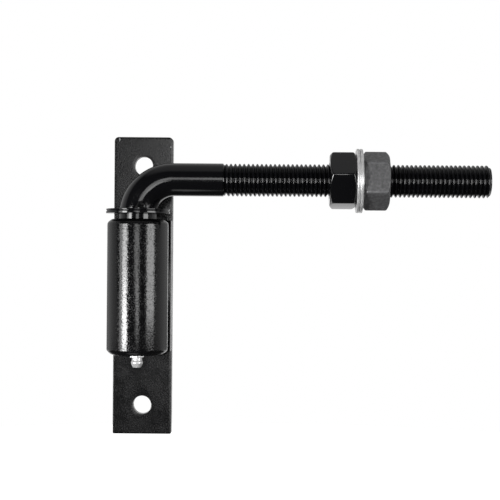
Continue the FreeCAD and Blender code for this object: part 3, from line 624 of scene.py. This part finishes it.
class HINGE_OT_barrel(Operator):
    """Make the turned barrel with a chamfer at each end"""
    bl_idname = "hinge.barrel"
    bl_label = "Barrel"

    def execute(self, context):
        """One closed profile turned about the bolt's axis: up the outside from the bore,
        with a chamfer at each end, and back down the bore."""
        sizes = context.scene.hinge_sizes
        low, high = box_of("barrel")
        outside = high[0]
        shoulder = outside - sizes.chamfer_width
        bore = sizes.barrel_bore / 2
        profile = np.array([
            [bore, low[2]], [shoulder, low[2]], [outside, low[2] + sizes.chamfer_height],
            [outside, high[2] - sizes.chamfer_height], [shoulder, high[2]], [bore, high[2]]])
        origin = np.array([0.0, middle_of("barrel")[1], 0.0])
        shapes = [lathe(soften(profile, sizes.turned_edge), origin, segments=160)]
        new_piece("barrel_tube", shapes, "plate_and_barrel", "barrel", "barrel_paint")
        return {"FINISHED"}


class HINGE_OT_welds(Operator):
    """Make the weld beads of the barrel and the bar, and the dust washer's tack"""
    bl_idname = "hinge.welds"
    bl_label = "Welds"

    def execute(self, context):
        """The long beads fill the corner between the barrel and the bar, the end beads the
        corner between the bar's ends and the plate. The tack is half an ellipsoid: its three
        half sizes times the cosines and sines of two angles, with a low swirl on it."""
        sizes = context.scene.hinge_sizes
        toe = sizes.weld_toe
        overlap = sizes.weld_overlap
        radius = box_of("barrel")[1][0]
        axis_back = middle_of("barrel")[1]
        for side, sign in (("right", 1), ("left", -1)):
            low, high = box_of("barrel_weld_" + side)
            edge = high[0] if sign > 0 else -low[0]
            toe_back = low[1] + toe
            toe_across = math.sqrt(radius ** 2 - (toe_back - axis_back) ** 2) - sizes.weld_sink
            first = np.array([edge, high[1] + overlap])
            last = np.array([toe_across, toe_back])
            crown = (first + last) / 2 + np.array([sizes.weld_crown, -toe])
            corner = np.array([toe_across - sizes.weld_throat, high[1] + toe])
            section = curve_through(first, crown, last)
            points, faces = bead(section, corner, low[2], high[2], (0, 1, 2), sizes.weld_ripple, sign)
            points = points * np.array([sign, 1.0, 1.0])
            new_piece("long_weld_" + side, [(points, faces)], "plate_and_barrel",
                      "barrel_weld_" + side, "weld_paint", 60)
        for end, sign in (("top", 1), ("bottom", -1)):
            low, high = box_of("bar_weld_" + end)
            inner = high[2] if sign < 0 else low[2]
            outer = low[2] if sign < 0 else high[2]
            first = np.array([low[1], inner])
            last = np.array([high[1], outer])
            corner = np.array([high[1] + overlap, inner - sign * overlap])
            crown = (first + last) / 2 + np.array([-1.0, sign]) * sizes.end_weld_crown
            section = curve_through(first, crown, last)
            shape = bead(section, corner, low[0], high[0], (2, 0, 1), sizes.weld_ripple, 2 + sign)
            new_piece("end_weld_" + end, [shape], "plate_and_barrel", "bar_weld_" + end,
                      "weld_paint", 60)
        self.tack(sizes.tack_depth)
        return {"FINISHED"}

    def tack(self, depth):
        """A dome in the corner between the leg and the dust washer. Its radius falls by up to
        a tenth with the absolute sine of four times the rise, shifted by the cosine of the
        angle round it."""
        low, high = box_of("washer_tack")
        half = np.array([(high[0] - low[0]) / 2, depth, high[2] - low[2]])
        centre = np.array([(high[0] + low[0]) / 2, low[1] + depth, low[2]])
        rise = np.linspace(0, math.pi / 2, 17)[:, None]
        around = np.linspace(0, 2 * math.pi, 49)[None, :-1]
        swirl = 1 - 0.10 * np.abs(np.sin(4 * rise + np.cos(around)))
        points = np.stack([
            half[0] * np.cos(rise) * np.cos(around) * swirl,
            half[1] * np.cos(rise) * np.sin(around) * swirl,
            half[2] * np.sin(rise) * swirl], axis=-1)
        foot = points[:1] * np.array([0.0, 0.0, 1.0])
        points = np.concatenate([foot, points]) + centre
        shape = (points, quads(len(points), points.shape[1], False, True))
        new_piece("tack", [shape], "j_bolt", "washer_tack", "weld_paint", 60)


class HINGE_OT_bolt(Operator):
    """Make the J-shaped bolt with its rolled thread"""
    bl_idname = "hinge.bolt"
    bl_label = "J-bolt"

    def execute(self, context):
        """Rings of points follow the leg, the bend and the arm, and become a helix on the
        thread. A ring's points lie at the radius times the sine of their angle to the side,
        and times its cosine to the back, and along the bend the radius falls evenly from the
        leg's to the shank's. On the thread a row stands at pitch times its turn number plus
        the share of a turn gone round, held between the thread's start and the arm's end. Its
        radius is the crest's, less the depth of the thread's form at that row's share of the
        pitch. Over the run-out the depth grows as three times the square less twice the cube
        of the way gone, and the first turns rise from below the shank to the crest in a
        straight line."""
        sizes = context.scene.hinge_sizes
        low, high = box_of("j_bolt")
        ring_low, ring_high = box_of("retaining_ring")
        back = middle_of("barrel")[1]
        leg = sizes.leg_diameter / 2
        shank = sizes.arm_diameter / 2
        crest = sizes.thread_diameter / 2
        bend = sizes.bend_radius
        arm_height = middle_of("inner_nut")[2]
        bend_low = arm_height - bend
        below_bend = 2 * MM
        floor = leg - sizes.ring_groove_depth
        groove_low = ring_low[2] - sizes.ring_side_gap
        groove_high = ring_high[2] + sizes.ring_side_gap
        end = high[0]
        start = end - sizes.thread_length - sizes.thread_runout
        angle = np.linspace(0, 2 * math.pi, 97)

        leg_profile = soften(np.array([
            [0, low[2]], [leg - sizes.leg_chamfer, low[2]], [leg, low[2] + sizes.leg_chamfer],
            [leg, groove_low], [floor, groove_low], [floor, groove_high], [leg, groove_high],
            [leg, bend_low - below_bend]]), sizes.leg_edge, 2, False)
        leg_radius, leg_up = leg_profile.T
        share = np.linspace(0, 1, 41)
        sweep = math.pi * (1 - share / 2)
        run = np.linspace(bend, start, 8)[1:]
        radius = np.concatenate([leg_radius, leg + (shank - leg) * share, np.full_like(run, shank)])
        across = np.concatenate([np.zeros_like(leg_up), bend + bend * np.cos(sweep), run])
        up = np.concatenate([leg_up, bend_low + bend * np.sin(sweep), np.full_like(run, arm_height)])
        side_across = np.concatenate([np.full_like(leg_up, -1.0), np.cos(sweep), np.zeros_like(run)])
        side_up = np.concatenate([np.zeros_like(leg_up), np.sin(sweep), np.ones_like(run)])
        rings = np.stack([
            across[:, None] + (radius * side_across)[:, None] * np.sin(angle),
            back + radius[:, None] * np.cos(angle),
            up[:, None] + (radius * side_up)[:, None] * np.sin(angle)], axis=-1)

        pitch = sizes.thread_pitch
        form_place = np.array([0.0, 0.05, 0.10, 0.15, 0.40, 0.5, 0.60, 0.85, 0.90, 0.95])
        form_depth = np.array([0.0, 0.01, 0.04, 0.10, 0.92, 1.0, 0.92, 0.10, 0.04, 0.01])
        turns = np.arange(math.floor(start / pitch) - 1, math.ceil(end / pitch) + 1)
        row = (turns[:, None] + form_place).ravel()
        depth = np.tile(form_depth * sizes.thread_depth, len(turns))[:, None]
        along = pitch * (row[:, None] + angle / (2 * math.pi)) + sizes.thread_phase
        along = np.clip(along, start, end)
        fade = np.clip((along - start) / sizes.thread_runout, 0, 1)
        fade = fade * fade * (3 - 2 * fade)
        settled = np.clip((along - start) / (2 * sizes.thread_runout), 0, 1)
        round_radius = crest - sizes.thread_relief * (1 - settled) - depth * fade
        chamfer = crest - np.clip(along - (end - sizes.arm_chamfer), 0, None)
        round_radius = np.minimum(round_radius, chamfer)
        helix = np.stack([along, back + round_radius * np.cos(angle),
                          arm_height + round_radius * np.sin(angle)], axis=-1)
        tip = crest - sizes.arm_chamfer
        cap_inset = 0.5 * MM
        cap_radius = np.array([tip - cap_inset, 0.0])[:, None]
        cap = np.stack([np.full((2, len(angle)), end), back + cap_radius * np.cos(angle),
                        arm_height + cap_radius * np.sin(angle)], axis=-1)
        points = np.concatenate([rings, helix, cap])
        shape = (points, quads(len(points), len(angle)))
        new_piece("bolt", [shape], "j_bolt", "j_bolt", "bolt_paint", 50)
        return {"FINISHED"}


class HINGE_OT_washers(Operator):
    """Make the dust washer and the two flat washers"""
    bl_idname = "hinge.washers"
    bl_label = "Washers"

    def execute(self, context):
        """Each washer is one closed profile turned about its axis. The dust washer's has a
        groove round the rim with sloping sides, and the flat washers' is a rectangle with
        rolled corners."""
        sizes = context.scene.hinge_sizes
        low, high = box_of("dust_washer")
        outside = high[0]
        bore = sizes.dust_washer_bore / 2
        groove = sizes.dust_washer_groove
        line = high[2] - sizes.dust_washer_line * (high[2] - low[2])
        profile = np.array([
            [bore, low[2]], [outside, low[2]], [outside, line - groove],
            [outside - groove, line - 0.4 * groove], [outside - groove, line + 0.4 * groove],
            [outside, line + groove], [outside, high[2]], [bore, high[2]]])
        origin = np.array([0.0, middle_of("dust_washer")[1], 0.0])
        shapes = [lathe(soften(profile, sizes.dust_washer_edge), origin, segments=144)]
        new_piece("dust_shield", shapes, "j_bolt", "dust_washer", "bolt_paint")
        bore = sizes.washer_bore / 2
        for name in ("inner", "outer"):
            low, high = box_of(name + "_washer")
            outside = (high[1] - low[1]) / 2
            profile = np.array([[bore, low[0]], [outside, low[0]], [outside, high[0]], [bore, high[0]]])
            origin = middle_of(name + "_washer") * np.array([0.0, 1.0, 1.0])
            shapes = [lathe(soften(profile, sizes.washer_edge), origin, "x", 144)]
            new_piece(name + "_flat_washer", shapes, name + "_washer", name + "_washer", "zinc")
        return {"FINISHED"}


class HINGE_OT_nuts(Operator):
    """Make the two hexagon nuts"""
    bl_idname = "hinge.nuts"
    bl_label = "Nuts"

    def execute(self, context):
        """Sections round the bore, one for each point of the hexagon's outline. A cone of 30
        degrees cuts both ends, so the chamfer's depth is the outline's radius less that of
        the round face, times the tangent of 30 degrees, which draws an arc on each flat."""
        sizes = context.scene.hinge_sizes
        nuts = (("inner", sizes.inner_nut_turn, "nut_paint"),
                ("outer", sizes.outer_nut_turn, "nut_oxide"))
        for name, first, slot in nuts:
            low, high = box_of(name + "_nut")
            radius, angle = rounded_hexagon(sizes.nut_flats, sizes.nut_corner, math.pi / 2 + first)
            face = sizes.nut_flats / 2 - sizes.nut_face_inset
            bore = sizes.nut_bore / 2
            sink = sizes.nut_countersink
            slope = (radius - face) * math.tan(math.pi / 6)
            profile = outline_profile(
                [bore + sink, face, radius, radius, face, bore + sink, bore, bore],
                [low[0], low[0], low[0] + slope, high[0] - slope, high[0], high[0],
                 high[0] - sink, low[0] + sink])
            profile = soften(profile, sizes.nut_edge)
            centre = middle_of(name + "_nut")
            points = np.stack([profile[..., 1], centre[1] + profile[..., 0] * np.cos(angle),
                               centre[2] + profile[..., 0] * np.sin(angle)], axis=-1)
            shapes = [(points, quads(points.shape[0], points.shape[1], True, True))]
            new_piece(name + "_hexagon_nut", shapes, name + "_nut", name + "_nut", slot, 32)
        return {"FINISHED"}


class HINGE_OT_nipple(Operator):
    """Make the grease nipple"""
    bl_idname = "hinge.nipple"
    bl_label = "Grease nipple"

    def execute(self, context):
        """The stem, neck and head are one turned profile round the bore. The hexagon is a
        ring with the outline of a hexagon, and its inner wall stands a little inside the
        neck, so that no gap shows between the two."""
        sizes = context.scene.hinge_sizes
        low, high = box_of("grease_nipple")
        root = box_of("barrel")[0][2]
        origin = np.array([0.0, middle_of("grease_nipple")[1], 0.0])
        neck = sizes.nipple_neck / 2
        head = sizes.nipple_head / 2
        stem = sizes.nipple_thread / 2
        inlet = sizes.nipple_inlet / 2
        bore = sizes.nipple_bore / 2
        bottom = root - sizes.nipple_hexagon
        tip = low[2]
        band_low = tip + sizes.nipple_taper
        band_high = band_low + sizes.nipple_head_band
        inlet_top = tip + sizes.nipple_inlet_length
        lip = high[2] - sizes.nipple_lip
        rounding = 0.25 * MM
        seam = 0.2 * MM
        lap = 0.3 * MM
        profile = np.array([
            [inlet, high[2]], [stem, high[2]], [stem, root - seam], [neck, bottom],
            [neck, band_high + sizes.nipple_flare], [head, band_high], [head, band_low],
            [sizes.nipple_tip / 2, tip], [inlet, tip], [inlet, inlet_top],
            [bore, inlet_top + bore - inlet], [bore, lip], [inlet, lip]])
        turned = lathe(soften(profile, rounding), origin, segments=64)
        radius, angle = rounded_hexagon(sizes.nipple_flats, rounding, sizes.nipple_turn, 3, 2)
        inner = neck - lap
        section = outline_profile([inner, radius, radius, inner], [root, root, bottom, bottom])
        section = soften(section, lap)
        across = section[..., 0]
        hexagon = np.stack([across * np.cos(angle), across * np.sin(angle), section[..., 1]],
                           axis=-1) + origin
        shapes = [turned, (hexagon, quads(hexagon.shape[0], hexagon.shape[1], True, True))]
        new_piece("nipple", shapes, "plate_and_barrel", "grease_nipple", "zinc")
        return {"FINISHED"}


class HINGE_OT_inner_pieces(Operator):
    """Give the bushes, the bearing, the plug and the nipple's valve their finishes"""
    bl_idname = "hinge.inner_pieces"
    bl_label = "Inner pieces"

    def execute(self, context):
        """Every CAD node takes the material of the slot that its record gives, those that a
        piece here replaces too, so that no node is left grey."""
        slots = {item["node"]: item["material_slot"] for item in frame["record"]["subparts"]}
        for name, item in frame["nodes"].items():
            finish = finish_of(slots[name])
            if not item.material_slots:
                item.data.materials.append(finish)
            for place in item.material_slots:
                place.material = finish
        return {"FINISHED"}


# Lamps: name, degrees right of the front, degrees above the horizon, distance, width and
# height in metres, and power in watts
LAMPS = (
    ("left_strip", -44.5, -3.5, 0.9, 0.26, 0.50, 5.7),
    ("left_wing", -59, -3.5, 0.9, 0.22, 0.50, 1.2),
    ("left_foot", -44.5, -9.6, 0.9, 0.26, 0.26, 3.0),
    ("middle_high", 1, 6.5, 1.5, 0.47, 0.35, 1.65),
    ("middle_low", 4, -5, 1.5, 0.29, 0.25, 1.1),
    ("right_box", 55, 2.5, 1.5, 0.84, 0.60, 10.9),
)
# The room's light from the front, 0, to the back, 1: place and strength
ROOM_TONES = ((0.1, 0.38), (0.3, 0.46), (0.5, 0.58), (0.8, 0.5), (0.98, 0.2))


class HINGE_OT_stage(Operator):
    """Set up the floor, the backdrop, the lamps and the camera"""
    bl_idname = "hinge.stage"
    bl_label = "Stage"

    def execute(self, context):
        """The camera looks straight back, turned about its view by the roll. Its shift moves
        the picture instead of turning the camera, so that the plate's edges stay parallel."""
        scene = context.scene
        stage = scene.hinge_stage
        scene.view_settings.view_transform = "Standard"
        self.sheet(stage, tuple(scene.hinge_finishes.floor))
        self.sky(scene, stage)
        for lamp in LAMPS:
            self.lamp(stage.lamp_target, *lamp)
        camera = bpy.data.cameras.new("photo_camera")
        camera.sensor_width = 36.0
        camera.lens = stage.lens
        camera.shift_x, camera.shift_y = stage.shift
        item = bpy.data.objects.new("photo_camera", camera)
        item.location = stage.camera
        item.rotation_euler = (math.pi / 2, stage.roll, 0)
        scene.collection.objects.link(item)
        scene.camera = item
        return {"FINISHED"}

    def sheet(self, stage, pale):
        """A round floor, a grid of circles about its middle. It looks white to the camera, and
        keeps the hinge's shadow. A mirror sees it white behind the hinge and nearly black in
        front, where the photo's black coat shows no pale floor, but for one small patch.
        Diffuse rays see it nearly black all over, so its white never lights the hinge."""
        height = -stage.floor_drop
        circles = np.linspace(0, stage.floor_radius, 9)[:, None]
        angle = np.linspace(0, 2 * math.pi, 64, endpoint=False)
        grid = (len(circles), len(angle))
        points = np.stack([circles * np.cos(angle), circles * np.sin(angle), np.full(grid, height)],
                          axis=-1)
        mesh = bpy.data.meshes.new("floor")
        mesh.from_pydata(points.reshape(-1, 3).tolist(), [], quads(*grid, False, True).tolist())
        material = bpy.data.materials.new("floor")
        material.use_nodes = True
        tree = material.node_tree
        tree.nodes.clear()
        ray = add_node(tree, "LightPath").outputs
        diffuse = add_node(tree, "BsdfDiffuse", values=[("Color", pale)])
        place = add_node(tree, "TexCoord").outputs["Object"]
        # White to the camera, a little less under the hinge, where the lamps light it too.
        away = add_node(tree, "VectorMath", [(place, 0)], [(1, (0.0, 0.0, height))],
                        operation="DISTANCE")
        white = add_node(tree, "MapRange", [(away.outputs["Value"], "Value")],
                         zip(SPAN, (*stage.floor_fade, *stage.floor_glow)))
        through = add_node(tree, "Math", [(ray["Is Camera Ray"], 0), (ray["Is Transmission Ray"], 1)],
                           operation="MAXIMUM")
        lift = add_node(tree, "Math", [(through.outputs[0], 0), (white.outputs["Result"], 1)],
                        operation="MULTIPLY")
        glow = add_node(tree, "Emission", [(lift.outputs[0], "Strength")])
        both = add_node(tree, "AddShader", [(diffuse.outputs[0], 0), (glow.outputs[0], 1)])
        # What mirrors see: white behind, the patch, and the dim room elsewhere.
        parts = add_node(tree, "SeparateXYZ", [(place, 0)])
        behind = add_node(tree, "MapRange", [(parts.outputs["Y"], "Value")],
                          zip(SPAN, (*stage.floor_back, stage.room, 1.0)))
        off_patch = add_node(tree, "VectorMath", [(place, 0)], [(1, (*stage.patch, height))],
                             operation="DISTANCE")
        patch = add_node(tree, "MapRange", [(off_patch.outputs["Value"], "Value")],
                         zip(SPAN, (*stage.patch_fade, 1.0, stage.room)))
        shine = add_node(tree, "Math", [(behind.outputs["Result"], 0), (patch.outputs["Result"], 1)],
                         operation="MAXIMUM")
        in_mirror = add_node(tree, "Math", [(ray["Is Glossy Ray"], 0), (shine.outputs[0], 1)],
                             operation="MULTIPLY")
        dim = add_node(tree, "Math", [(in_mirror.outputs[0], 0)], [(1, stage.room)],
                       operation="MAXIMUM")
        mirrored = add_node(tree, "Emission", [(dim.outputs[0], "Strength")])
        unseen = add_node(tree, "Math", [(ray["Is Glossy Ray"], 0), (ray["Is Diffuse Ray"], 1)],
                          operation="MAXIMUM")
        mix = add_node(tree, "MixShader", [(unseen.outputs[0], 0), (both.outputs[0], 1),
                                           (mirrored.outputs[0], 2)])
        add_node(tree, "OutputMaterial", [(mix.outputs[0], "Surface")])
        mesh.materials.append(material)
        item = bpy.data.objects.new("floor", mesh)
        bpy.context.scene.collection.objects.link(item)

    def sky(self, scene, stage):
        """White to the camera and through glass, and white in a mirror within about 15 degrees
        of the way the camera looks, where the backdrop stands. Elsewhere light and mirrors see
        the dim room: dark in front of the hinge and half white at its sides and above it,
        because the photo's black coat mirrors a dark room there."""
        world = bpy.data.worlds.new("studio")
        world.use_nodes = True
        tree = world.node_tree
        tree.nodes.clear()
        white_colour = ("Color", (1, 1, 1, 1))
        way = add_node(tree, "TexCoord").outputs["Generated"]
        parts = add_node(tree, "SeparateXYZ", [(way, 0)])
        # The dim room: its tone follows how far a way points back and down, with a ceiling.
        lean = add_node(tree, "VectorMath", [(way, 0)], [(1, (0.0, 1.0, -0.5))],
                        operation="DOT_PRODUCT")
        turned = add_node(tree, "MapRange", [(lean.outputs["Value"], "Value")],
                          zip(SPAN, (-0.3, 1.0)))
        tones = ((0.0, stage.room),) + ROOM_TONES
        round_about = add_node(tree, "ValToRGB", [(turned.outputs["Result"], "Fac")],
                               stops=[(place, shade((1, 1, 1), tone)) for place, tone in tones])
        overhead = add_node(tree, "MapRange", [(parts.outputs["Z"], "Value")],
                            zip(SPAN, (*stage.ceiling_fade, stage.room, stage.ceiling)))
        tone = add_node(tree, "Math", [(round_about.outputs["Color"], 0),
                                       (overhead.outputs["Result"], 1)], operation="MAXIMUM")
        dim = add_node(tree, "Background", [(tone.outputs[0], "Strength")], [white_colour])
        # The white backdrop, and which rays see it.
        white = add_node(tree, "Background", values=[white_colour])
        ray = add_node(tree, "LightPath").outputs
        behind = add_node(tree, "MapRange", [(parts.outputs["Y"], "Value")],
                          zip(SPAN, stage.backdrop_fade))
        mirrored = add_node(tree, "Math", [(ray["Is Glossy Ray"], 0), (behind.outputs["Result"], 1)],
                            operation="MULTIPLY")
        through = add_node(tree, "Math", [(ray["Is Camera Ray"], 0), (ray["Is Transmission Ray"], 1)],
                           operation="MAXIMUM")
        shown = add_node(tree, "Math", [(through.outputs[0], 0), (mirrored.outputs[0], 1)],
                         operation="MAXIMUM")
        mix = add_node(tree, "MixShader", [(shown.outputs[0], 0), (dim.outputs[0], 1),
                                           (white.outputs[0], 2)])
        add_node(tree, "OutputWorld", [(mix.outputs[0], "Surface")])
        scene.world = world

    def lamp(self, target, name, azimuth, elevation, distance, width, height, power):
        """An area lamp that faces the target. It stands at the distance times the sine and
        cosine of its angle right of the front, both times the cosine of its angle above the
        horizon, and at the distance times that angle's sine above the target."""
        around = math.radians(azimuth)
        above = math.radians(elevation)
        way = Vector((math.sin(around) * math.cos(above), -math.cos(around) * math.cos(above),
                      math.sin(above)))
        light = bpy.data.lights.new(name, "AREA")
        light.shape = "RECTANGLE"
        light.size = width
        light.size_y = height
        light.energy = power
        item = bpy.data.objects.new(name, light)
        item.location = Vector(target) + way * distance
        item.rotation_euler = (-way).to_track_quat("-Z", "Y").to_euler()
        bpy.context.scene.collection.objects.link(item)


class HINGE_PT_panel(Panel):
    """The hinge's pieces and their sizes"""
    bl_idname = "HINGE_PT_panel"
    bl_label = "Gate Hinge"
    bl_space_type = "VIEW_3D"
    bl_region_type = "UI"
    bl_category = "Gate Hinge"

    def draw(self, context):
        for step in STEPS:
            self.layout.operator(step.bl_idname)
        scene = context.scene
        for group in (scene.hinge_sizes, scene.hinge_finishes, scene.hinge_stage):
            column = self.layout.column(align=True)
            for key in group.__annotations__:
                column.prop(group, key)


STEPS = (HINGE_OT_plate, HINGE_OT_barrel, HINGE_OT_welds, HINGE_OT_bolt, HINGE_OT_washers,
         HINGE_OT_nuts, HINGE_OT_nipple, HINGE_OT_inner_pieces, HINGE_OT_stage)
CLASSES = (HingeSizes, HingeFinishes, HingeStage) + STEPS + (HINGE_PT_panel,)


def register():
    for item in CLASSES:
        bpy.utils.register_class(item)
    bpy.types.Scene.hinge_sizes = PointerProperty(type=HingeSizes)
    bpy.types.Scene.hinge_finishes = PointerProperty(type=HingeFinishes)
    bpy.types.Scene.hinge_stage = PointerProperty(type=HingeStage)


def unregister():
    del bpy.types.Scene.hinge_stage
    del bpy.types.Scene.hinge_finishes
    del bpy.types.Scene.hinge_sizes
    for item in reversed(CLASSES):
        bpy.utils.unregister_class(item)


def main():
    register()
    for step in STEPS:
        group, name = step.bl_idname.split(".")
        getattr(getattr(bpy.ops, group), name)()


if __name__ == "__main__":
    main()
